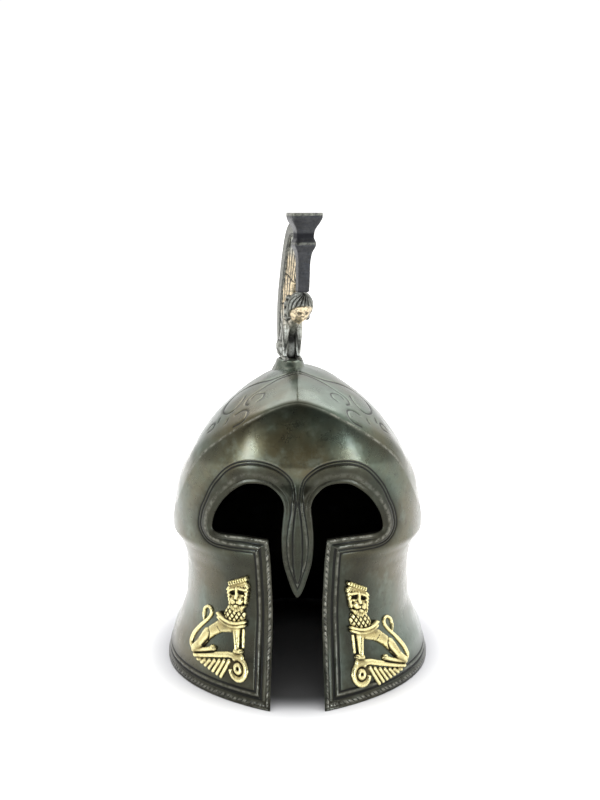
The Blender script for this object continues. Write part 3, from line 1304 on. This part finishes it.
def limb_ends(rows):
    """The same rows with round ends added: past them the half-widths shrink to nothing over one radius."""
    rows = [np.array(row, float) for row in rows]

    def cap(end, inner):
        way = unit(end[:3] - inner[:3])
        for t in (1.0, 0.92, 0.7, 0.38):
            yield np.concatenate([end[:3] + way * end[3:].min() * t, end[3:] * math.sqrt(1 - t * t)])

    return [*cap(rows[0], rows[1]), *rows, *list(cap(rows[-1], rows[-2]))[::-1]]


# %% [markdown]
# The figure sits on a low flared mound. Its trunk leans forwards over straight forelegs that end in paws,
# with folded haunches behind. The rows of each limb are places along its middle line with two half-widths
# there, and a faint coat of wavy hair runs over all of them.

# %% Trunk, legs and foot
FLUTE = 0.12
COAT = 0.10
MOUND_PROFILE = (
    (125.6, 8.6),
    (128.0, 7.9),
    (130.0, 7.1),
    (131.6, 6.3),
    (132.8, 5.9),
    (133.6, 5.6),
    (134.2, 5.0),
    (134.5, 3.6),
    (134.6, 0.0),
)
TRUNK = (
    (-7.8, 0, 139.0, 3.3, 3.6),
    (-5.0, 0, 142.5, 3.4, 4.2),
    (-1.0, 0, 147.0, 3.3, 4.4),
    (2.0, 0, 150.5, 3.4, 4.2),
)
NECK = ((2.4, 0, 150.6, 3.5, 4.0), (6.0, 0, 154.0, 3.0, 3.6), (10.5, 0, 158.0, 2.6, 3.0))
CHEST = (
    (1.4, 0, 150.0, 3.1, 1.8),
    (0.4, 0, 145.0, 3.0, 1.8),
    (-0.4, 0, 139.0, 2.9, 1.7),
    (-0.8, 0, 134.8, 3.0, 1.6),
)
FORELEG_ROWS = (
    (2.6, 2.5, 151.0, 1.9, 2.6),
    (2.6, 2.9, 146.0, 1.55, 2.1),
    (1.6, 3.0, 140.5, 1.15, 1.5),
    (1.2, 3.0, 136.6, 1.1, 1.4),
    (1.6, 3.0, 134.9, 1.2, 1.3),
    (3.8, 3.0, 134.4, 1.3, 1.0),
)
HAUNCH_ROWS = (
    (-9.6, 1.6, 136.4, 2.0, 2.2),
    (-7.6, 2.2, 139.0, 2.3, 3.6),
    (-4.6, 2.6, 138.2, 2.2, 3.4),
    (-2.6, 2.7, 135.6, 1.6, 1.6),
    (0.0, 2.8, 134.8, 1.2, 1.0),
)
SIDES = {"left": 1, "right": -1}
LIMBS = {"trunk": TRUNK, "chest": CHEST, "neck": NECK}
for limb, limb_rows in (("foreleg", FORELEG_ROWS), ("haunch", HAUNCH_ROWS)):
    for label, side in SIDES.items():
        LIMBS[f"{limb}_{label}"] = [(a, side * aside, *row) for a, aside, *row in limb_rows]


def figure_piece(name, points, groove, worn, gold=0.0, finish="gilt_bronze", node="crest_figure"):
    """One closed lofted piece of the crest, going round in its second direction."""
    faces = grid_faces(*points.shape[:2], closed=True)
    values = {"groove": groove, "worn": worn, "gold": gold}
    attributes = {key: np.broadcast_to(value, points.shape[:2]) for key, value in values.items()}
    piece = mesh_piece(name, points, faces, finish, node, attributes)
    return close_up(piece)


def close_up(piece):
    """Merges the points that fall together at poles, fills any open end and turns the faces outwards."""
    mesh = bmesh.new()
    mesh.from_mesh(piece.data)
    bmesh.ops.remove_doubles(mesh, verts=mesh.verts, dist=2e-6)
    open_edges = [edge for edge in mesh.edges if edge.is_boundary]
    if open_edges:
        bmesh.ops.holes_fill(mesh, edges=open_edges, sides=0)
    bmesh.ops.recalc_face_normals(mesh, faces=mesh.faces)
    mesh.to_mesh(piece.data)
    mesh.free()
    piece.data.shade_smooth()
    return piece


def make_mound():
    """The flared foot: a stretched ring profile with shallow flutes, cut where it meets the crown."""
    rows = smooth_path(np.array(MOUND_PROFILE), 5)
    height, radius = rows[:, :1], rows[:, 1:]
    turn = full_turn(96)[None]
    flutes = FLUTE * np.cos(9 * turn + 0.8 * np.sin(height)) * ramp(height, 134.0, 130.0)
    reach = np.maximum(radius + flutes * (radius > 0), 0)
    points = crest_points(reach * 1.45 * np.cos(turn) - 1.6, reach * np.sin(turn), height)
    groove, worn = 0.3 * held(-flutes / FLUTE), 0.35 + 0.4 * held(flutes / FLUTE)
    figure_piece("crest_mound", points, groove, worn, 0, "patinated_bronze")


def coat(way, turn):
    """The hair on a limb: waves along it that lean with the turn and fade at both ends."""
    return COAT * np.sin(34 * way + 5 * np.cos(turn)) * np.sin(way * math.pi)


def make_limbs():
    """The trunk, chest and neck, and both forelegs and haunches."""
    for name, rows in LIMBS.items():
        points, extra = loft(limb_ends(rows), relief=coat)
        groove = held(-extra / COAT) * 0.6 + (0.4 if name == "chest" else 0.0)
        gold = 0.35 * ramp(points[..., 2], 146, 152)
        figure_piece("figure_" + name, points, groove, 0.45 + 0.4 * held(extra / COAT), gold)


# %% [markdown]
# The head is a ball by longitude and latitude. Smooth humps push the features out and in, by the plain
# proportions of any face: eyes halfway up, the nose half of the rest, the mouth a third below it. Outside
# an oval round the face the ball carries waved hair, and a banded lock hangs on each side of the neck.

# %% Head and locks
HEAD_AT = (12.4, 0.4, 157.2)
HEAD_SIZE = (5.0, 4.7, 6.6)
HEAD_NOD = 34.0
HEAD_TURN = 8.0
# A height over the ball, then longitude, latitude and the two half-widths; each is on both sides.
FEATURES = {
    "nose": (0.55, 0, -2, 9, 26),
    "nose tip": (0.45, 0, -11, 12, 10),
    "eye sockets": (-0.42, 21, 6, 17, 11),
    "eyes": (0.30, 21, 5, 9, 5),
    "brows": (0.22, 20, 17, 22, 6),
    "upper lip": (0.28, 0, -27, 15, 5),
    "lower lip": (0.24, 0, -33, 13, 5),
    "mouth": (-0.25, 0, -30, 16, 2.2),
    "chin": (0.5, 0, -50, 20, 16),
    "cheeks": (0.18, 34, -16, 20, 20),
}
LOCK_ROWS = ((9.8, 3.4, 161.5, 1.3, 1.9), (10.4, 4.3, 157.5, 1.5, 2.0), (10.8, 4.1, 153.2, 1.2, 1.6))
LOCK_BAND = 0.16


def face_relief(longitude, latitude):
    """The sum of the features' humps; one away from the middle has a twin on the other side."""
    face = 0.0
    for size, lon, lat, wide, high in FEATURES.values():
        for twin in sorted({lon, -lon}):
            from_feature = np.hypot((longitude - twin) / wide, (latitude - lat) / high)
            face = face + size * hump(from_feature, 0, 1)
    return face


def turned(first, second, degrees):
    """Two coordinates turned about the third."""
    cosine, sine = math.cos(math.radians(degrees)), math.sin(math.radians(degrees))
    return first * cosine - second * sine, second * cosine + first * sine


def make_head():
    """Hair where the ball is far from the face, the face inside; then nodded forwards and turned."""
    latitude = np.linspace(-90, 90, 97)[:, None]
    longitude = np.linspace(-180, 180, 128, endpoint=False)[None]
    lat, lon = np.radians(latitude), np.radians(longitude)
    hair = ramp(np.hypot(longitude / 74, (latitude + 10) / 50), 0.92, 1.05) * ramp(latitude, -48, -30)
    waves = np.cos(15 * lon + math.radians(260) * np.sin(2.2 * lat))
    face = face_relief(longitude, latitude)
    reach = 1 + ((1 - hair) * face + hair * (0.75 + 0.22 * waves)) / 4.3
    ahead = HEAD_SIZE[0] * reach * np.cos(lat) * np.cos(lon)
    aside = HEAD_SIZE[1] * reach * np.cos(lat) * np.sin(lon)
    height, ahead = turned(HEAD_SIZE[2] * reach * np.sin(lat), ahead, HEAD_NOD)
    ahead, aside = turned(ahead, aside, HEAD_TURN)
    points = crest_points(HEAD_AT[0] + ahead, HEAD_AT[1] + aside, HEAD_AT[2] + height)
    groove = np.maximum(0.7 * hair * held(-waves), (1 - hair) * held(-face / 0.35) * 0.8)
    worn = np.where(hair > 0.5, 0.25 + 0.3 * held(waves), 0.95)
    figure_piece("figure_head", points, groove, worn * (1 - 0.7 * groove), 1 - hair)


def bands(way, turn):
    """The bands round a lock: a wave along it."""
    return LOCK_BAND * np.cos(30 * way * math.pi)


def make_locks():
    """The two banded locks beside the neck."""
    for label, side in SIDES.items():
        rows = [(a, side * aside, *row) for a, aside, *row in LOCK_ROWS]
        points, extra = loft(limb_ends(rows), steps=14, sides=32, relief=bands)
        groove, worn = held(-extra / LOCK_BAND) * 0.8, 0.2 + 0.4 * held(extra / LOCK_BAND)
        figure_piece("figure_locks_" + label, points, groove, worn)


# %% [markdown]
# ## Wings, rail and post
#
# The wings fill the space between the figure's back and the rail. They are one flat body with two faces:
# a half-thickness over the plane of "ahead" and "height", laid out to both sides, and zero on the outline,
# so that the two faces meet there. The feathers are rows of long blades that fan from the shoulder, each
# with a rounded back and a dark line beside it. The rail is a bar carried along an arch; the post is a
# squared column whose width follows a table, with a neck under its flat cap.

# %% Wings
WING_EDGE = (
    (1.5, 149.0),
    (6.0, 159.0),
    (9.0, 166.0),
    (14.0, 169.5),
    (17.0, 171.5),
    (17.0, 186.0),
    (12.0, 189.0),
    (3.0, 185.0),
    (-5.0, 169.0),
    (-10.0, 155.0),
    (-9.0, 142.0),
    (-5.0, 141.0),
)
SHOULDER = (-3.0, 141.0)
LONG_FEATHERS = 30
MIDDLE_FEATHERS = 17


def inside_depth(ahead, height, outline):
    """How far inside a closed outline each place is, below 0 outside it."""
    sides = [(*start, 0, *end, 0) for start, end in zip(outline, np.roll(outline, -1, 0))]
    nearest = np.min([from_stroke(ahead, height, side)[0] for side in sides], axis=0)
    return np.where(inside_outline(ahead, height, outline), nearest, -nearest)


def make_wings():
    """Both faces of the wings: a rounded edge, then long feathers fanning from the shoulder in three rows."""
    ahead, height = np.meshgrid(np.arange(-12, 19.5, 0.25), np.arange(139, 191, 0.25))
    depth = inside_depth(ahead, height, smooth_path(np.array(WING_EDGE + WING_EDGE[:1]), 6)[:-1])
    fan = np.degrees(np.arctan2(ahead - SHOULDER[0], height - SHOULDER[1]))
    reach = np.hypot(ahead - SHOULDER[0], height - SHOULDER[1])
    row = [reach > LONG_FEATHERS, reach > MIDDLE_FEATHERS]
    width, step = np.select(row, (5.2, 8.5), 15.0), np.select(row, (0.0, 0.35), 0.7)
    feather = np.abs(((fan + 40) % width) / width - 0.5) * 2
    tips = held(np.minimum(np.abs(reach - LONG_FEATHERS), np.abs(reach - MIDDLE_FEATHERS)) / 0.7)
    blade = np.sqrt(held(1 - feather**2.4))
    thick = 1.35 + 0.55 * blade + step * 0.6 + 0.14 * hump(feather, 0.0, 0.16) - 0.35 * (1 - tips)
    half = np.maximum(thick * np.sqrt(held(depth / 1.6)), 0.0)
    groove = np.maximum(ramp(feather, 0.60, 0.96), 0.6 * (1 - tips)) * (depth > 0.3)
    worn = held(blade * 1.1 - 0.15) * (1 - groove)
    gold = ramp(height, 150, 160) * ramp(height, 183, 176) * ramp(feather, 0.95, 0.6)
    numbers = {"groove": groove, "worn": worn, "gold": gold}
    numbers = {key: np.concatenate([value.ravel()] * 2) for key, value in numbers.items()}
    left, right = (crest_points(ahead, side * half, height).reshape(-1, 3) for side in SIDES.values())
    cells = grid_faces(*ahead.shape)
    cells = cells[(depth.ravel()[cells] > 0).any(-1)]
    faces = np.concatenate([cells, cells[:, ::-1] + len(left)])
    both = np.concatenate([left, right])
    close_up(mesh_piece("figure_wings", both, faces, "gilt_bronze", "crest_figure", numbers))


# %% [markdown]
# The rail arches from the figure's back up to the post and ends in it. It is one bar, nearly square, with
# two chased lines down each flank and fine cross strokes on top, like a comb of stiff hair. The post that
# carries its upper end widens to a shoulder, narrows to a neck and ends in a flat cap.

# %% Rail and post
RAIL_LINE = (
    (19.0, 189.3, 2.4),
    (10.0, 190.2, 3.0),
    (4.0, 186.8, 3.3),
    (-1.2, 178.4, 3.4),
    (-5.6, 168.4, 3.4),
    (-9.2, 158.4, 3.2),
    (-10.6, 148.6, 2.8),
    (-10.8, 141.0, 2.0),
    (-10.6, 136.0, 1.2),
)
RAIL_HALF = 2.75
POST_COLUMNS = ("height", "ahead", "half_aside", "half_ahead")
POST_ROWS = (
    (164.4, 16.9, 2.1, 2.0),
    (165.0, 17.0, 2.5, 2.3),
    (168.0, 17.6, 2.5, 2.4),
    (176.0, 18.0, 2.6, 2.6),
    (180.6, 18.4, 3.2, 3.1),
    (184.0, 18.8, 4.55, 4.05),
    (184.8, 18.8, 4.5, 4.0),
    (187.0, 19.0, 3.7, 3.4),
    (189.2, 19.3, 3.85, 3.5),
    (193.6, 20.0, 6.1, 5.0),
    (194.9, 20.2, 6.55, 5.45),
    (195.3, 20.2, 6.6, 5.5),
    (196.4, 20.2, 6.6, 5.5),
    (196.75, 20.2, 6.5, 5.4),
    (196.8, 20.2, 6.3, 5.2),
)


def rail_lines(way, turn):
    """The rail's chasing: two lines down each flank, and cross strokes along the top."""
    flank = np.abs(np.cos(turn))
    cuts = hump(flank, 0.55, 0.12) + hump(flank, 0.25, 0.08)
    hairs = 0.5 + 0.5 * np.cos(150 * way * math.pi)
    return -0.22 * cuts * (np.abs(np.sin(turn)) > 0.5) - 0.05 * hairs * (flank > 0.75)


def make_rail():
    """The arched rail: a nearly square bar along the arch, with two chased lines down each flank."""
    rows = [(a, 0.0, h, RAIL_HALF, d) for a, h, d in RAIL_LINE]

    points, extra = loft(rows, steps=18, sides=104, power=7.0, relief=rail_lines)
    figure_piece("rail_arch", points, held(-extra / 0.2), 0.6, 0, "dark_bronze", "crest_rail")


def make_post():
    """The post: a superellipse whose half-widths follow the table, with crisp rows at the cap."""
    table = table_curves(POST_COLUMNS, POST_ROWS)
    foot, top = POST_ROWS[0][0], POST_ROWS[-1][0]
    height = np.unique([*(row[0] for row in POST_ROWS), *np.arange(foot, top, 0.25)])[:, None]
    turn = full_turn(96)[None]
    ahead = table["ahead"](height) + table["half_ahead"](height) * signed_power(np.cos(turn), 0.25)
    aside = 0.3 + table["half_aside"](height) * signed_power(np.sin(turn), 0.25)
    rough = 0.06 * np.sin(height * 2.3 + 3 * turn) * np.sin(height * 0.9)
    points = crest_points(ahead + rough, aside, height)
    edge = ramp(np.abs(height - 196.3), 0.9, 0.2) + 0.7 * hump(height, 184.4, 0.8)
    groove = 0.9 * hump(height, 187.6, 2.0)
    figure_piece("rail_post", points, groove, held(0.05 + 0.7 * edge), 0, "dark_bronze", "crest_rail")


# %% [markdown]
# ## All the pieces
#
# Every function above is called here, once each. The shell comes first: two halves of the face, the crown
# in three parts so that the front one can be fine, the nape, both lips and the inside.

# %% Make the shell
make_face("face_right", 1)
make_face("face_left", -1)
for name, turns, rays_down in (
    ("crown_front", np.linspace(-FACE_END, FACE_END, 401), 111),
    ("crown_back_right", np.linspace(FACE_END, 180, 61), 50),
    ("crown_back_left", np.linspace(-180, -FACE_END, 61), 50),
):
    make_crown(name, turns, np.linspace(0, 1, rays_down))
make_nape()
make_opening_lip()
make_rim_lip()
make_inside()

# %% [markdown]
# The two lions are the same relief with its own place, lean and tilt of the head on each cheek, as on a
# hand-made pair. The crest is built from its foot upwards.

# %% Make the lions and the crest
for lion in LION_PLACES:
    make_lion(lion)
for make in (make_mound, make_limbs, make_head, make_locks, make_wings, make_rail, make_post):
    make()


# %% [markdown]
# ## Studio
#
# A small thing on a white table in a white tent. The floor is one pale sheet past the horizon, which is
# lit a little from within far away so that it melts into the tent. No light gets under a helmet that
# stands on its rim, so the floor is a dark card inside the rim's oval, and a little grey just beside it,
# where the metal keeps the sky off. Both are soft ovals worked out from the place on the floor.

# %% Floor


def far_out(nodes, half_width, half_depth, back):
    """How far out a place is on an ellipse about a point behind the middle: 1 on the ellipse itself."""
    place = nodes.add("SeparateXYZ", Vector=nodes.add("TexCoord").outputs["Object"])
    wide = nodes.combined("DIVIDE", place.outputs["X"], half_width)
    deep = nodes.combined("DIVIDE", nodes.combined("SUBTRACT", place.outputs["Y"], back), half_depth)
    squares = nodes.plus(nodes.combined("POWER", wide, 2.0), nodes.combined("POWER", deep, 2.0))
    return nodes.combined("POWER", squares, 0.5)


def white_floor():
    """Matt white: dark inside the helmet's rim, a little grey beside it, and lit from within far away."""
    nodes = Nodes(bpy.data.materials.new("studio_white"))
    out = far_out(nodes, 0.057, 0.0655, 0.0)
    beside = nodes.spread(far_out(nodes, 0.057, 0.066, 0.014), 1.0, 1.45)
    colour = nodes.blend(beside, (0.52, 0.52, 0.54), (0.95, 0.95, 0.95))
    return nodes.finished(
        "BSDF_PRINCIPLED",
        Base_Color=nodes.blend(nodes.spread(out, 0.80, 1.03), (0.10, 0.10, 0.10), colour),
        Metallic=0.0,
        Roughness=0.7,
        Emission_Color=nodes.blend(nodes.spread(out, 3.0, 14.0), (0.0, 0.0, 0.0), (0.4, 0.4, 0.4)),
        Emission_Strength=1.0,
    )


def make_floor():
    """One flat sheet that runs out to the horizon on every side."""
    across = np.linspace(-30000, 30000, 7)
    points = np.stack(np.broadcast_arrays(across[None], across[:, None], 0.0), -1)
    mesh = bpy.data.meshes.new("studio_floor")
    faces = grid_faces(*points.shape[:2]).reshape(-1, 4)
    mesh.from_pydata((points.reshape(-1, 3) * MM).tolist(), [], faces.tolist())
    mesh.materials.append(white_floor())
    floor = bpy.data.objects.new("studio_floor", mesh)
    bpy.context.scene.collection.objects.link(floor)


make_floor()

# %% [markdown]
# Metal shows its surroundings more than its own colour, so the room is the real light. The tent is white
# above, behind and at the sides, and a little brighter up on the right. Only the camera's side is dark,
# which is what draws the dark forehead; the camera itself sees white everywhere, so a view from any side
# has a clean background. A large box overhead lights the shapes, a second one the floor in front, and two
# cool strips low on both sides are there only for the long gloss that they leave on the cheeks.

# %% Light
ROOM_DARK = (0.012, 0.012, 0.014)
STRIPS = {"left_strip": ((-0.52, -0.61, 0.09), 1.8), "right_strip": ((0.58, -0.56, 0.09), 1.3)}


def soft_light(name, place, aim, width, height, power):
    """A rectangular area light at a place, turned towards a point, all in metres and watts."""
    data = bpy.data.lights.new(name, "AREA")
    data.shape = "RECTANGLE"
    data.size, data.size_y, data.energy = width, height, power
    light = bpy.data.objects.new(name, data)
    light.location = place
    light.rotation_mode = "QUATERNION"
    light.rotation_quaternion = (Vector(aim) - Vector(place)).to_track_quat("-Z", "Y")
    bpy.context.scene.collection.objects.link(light)
    return light


def white_tent():
    """White where a direction points behind or up, or where the camera looks, and dark elsewhere."""
    nodes = Nodes(bpy.data.worlds.new("white_tent"))
    way = nodes.add("SeparateXYZ", Vector=nodes.add("TexCoord").outputs["Generated"])
    x, y, z = (way.outputs[name] for name in "XYZ")
    behind, above = nodes.spread(y, -0.78, -0.20), nodes.spread(z, 0.45, 0.95, 0.0, 0.75)
    share = nodes.combined("MAXIMUM", behind, above)
    share = nodes.combined("MAXIMUM", share, nodes.add("LightPath").outputs["Is Camera Ray"])
    more = nodes.times(nodes.spread(x, 0.15, 0.50, 0.0, 0.50), nodes.spread(z, 0.10, 0.40))
    colour = nodes.blend(share, ROOM_DARK, (1.0, 1.0, 1.0))
    return nodes.finished("BACKGROUND", Color=colour, Strength=nodes.plus(more, 1.05))


bpy.context.scene.world = white_tent()
soft_light("top_box", (0.0, 0.40, 1.15), (0, 0, 0.1), 1.5, 1.3, 16.0)
floor_box = soft_light("floor_box", (0.0, -0.70, 1.10), (0, -0.1, 0.0), 0.9, 0.7, 6.0)
floor_box.visible_glossy = False
for name, (place, power) in STRIPS.items():
    strip = soft_light(name, place, (0, 0, 0.10), 0.10, 0.20, power)
    strip.visible_diffuse = False
    strip.data.color = (0.80, 0.89, 1.0)
print("lights:", ", ".join(light.name for light in bpy.data.lights))

# %% [markdown]
# The camera stands half a metre away and a little above, which keeps the rim's front and back nearly in
# one line. The Standard view keeps white paper white, as a product shot needs.

# %% Camera
CAMERA_PLACE = (0.0, -0.48375, 0.200)
CAMERA_PITCH = 9.96
CAMERA_SHIFT = 2.5 / 800


def make_camera():
    """A 50 mm lens on a 36 mm frame, half a metre away, looking slightly down."""
    data = bpy.data.cameras.new("camera")
    data.lens, data.sensor_width = 50.0, 36.0
    data.shift_x = CAMERA_SHIFT
    data.clip_start, data.clip_end = 0.01, 20.0
    camera = bpy.data.objects.new("camera", data)
    camera.location = CAMERA_PLACE
    camera.rotation_euler = (math.radians(90 - CAMERA_PITCH), 0, 0)
    bpy.context.scene.collection.objects.link(camera)
    bpy.context.scene.camera = camera


make_camera()
bpy.context.scene.view_settings.view_transform = "Standard"
